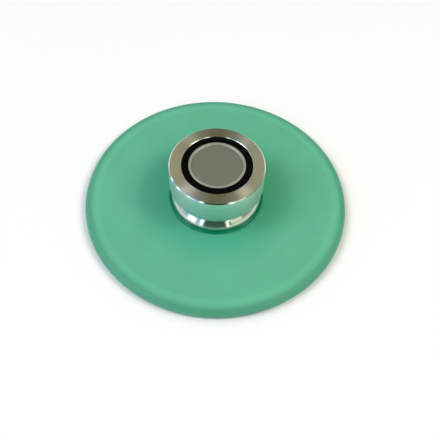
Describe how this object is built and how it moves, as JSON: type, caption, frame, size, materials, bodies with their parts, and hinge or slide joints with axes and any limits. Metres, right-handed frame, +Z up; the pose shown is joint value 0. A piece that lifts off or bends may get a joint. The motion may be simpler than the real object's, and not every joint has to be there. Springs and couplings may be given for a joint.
{
  "type": "record weight clamp",
  "caption": "Round translucent plate with a turned metal knob in its middle, set over a turntable spindle to hold a record down.",
  "frame": {"origin": "centre of the underside, on the record's label", "axes": "+Z up along the axis of the knob and the spindle bore"},
  "size_m": [0.1, 0.1, 0.0227],
  "materials": {
    "frosted_acrylic": "frosted translucent",
    "clear_acrylic": "polished translucent",
    "turned_aluminium": "turned and polished",
    "black_inlay": "gloss",
    "badge_metal": "satin",
    "bush_plastic": "matt",
    "grip_rubber": "matt",
    "screw_steel": "plain"
  },
  "bodies": {
    "root": {"plate": "frosted_acrylic", "seat_washer": "clear_acrylic", "knob": "turned_aluminium", "inlay_ring": "black_inlay", "badge": "badge_metal", "spindle_bush": "bush_plastic", "grip_ring_lower": "grip_rubber", "grip_ring_upper": "grip_rubber", "screw_1": "screw_steel", "screw_2": "screw_steel", "screw_3": "screw_steel"}
  },
  "joints": []
}
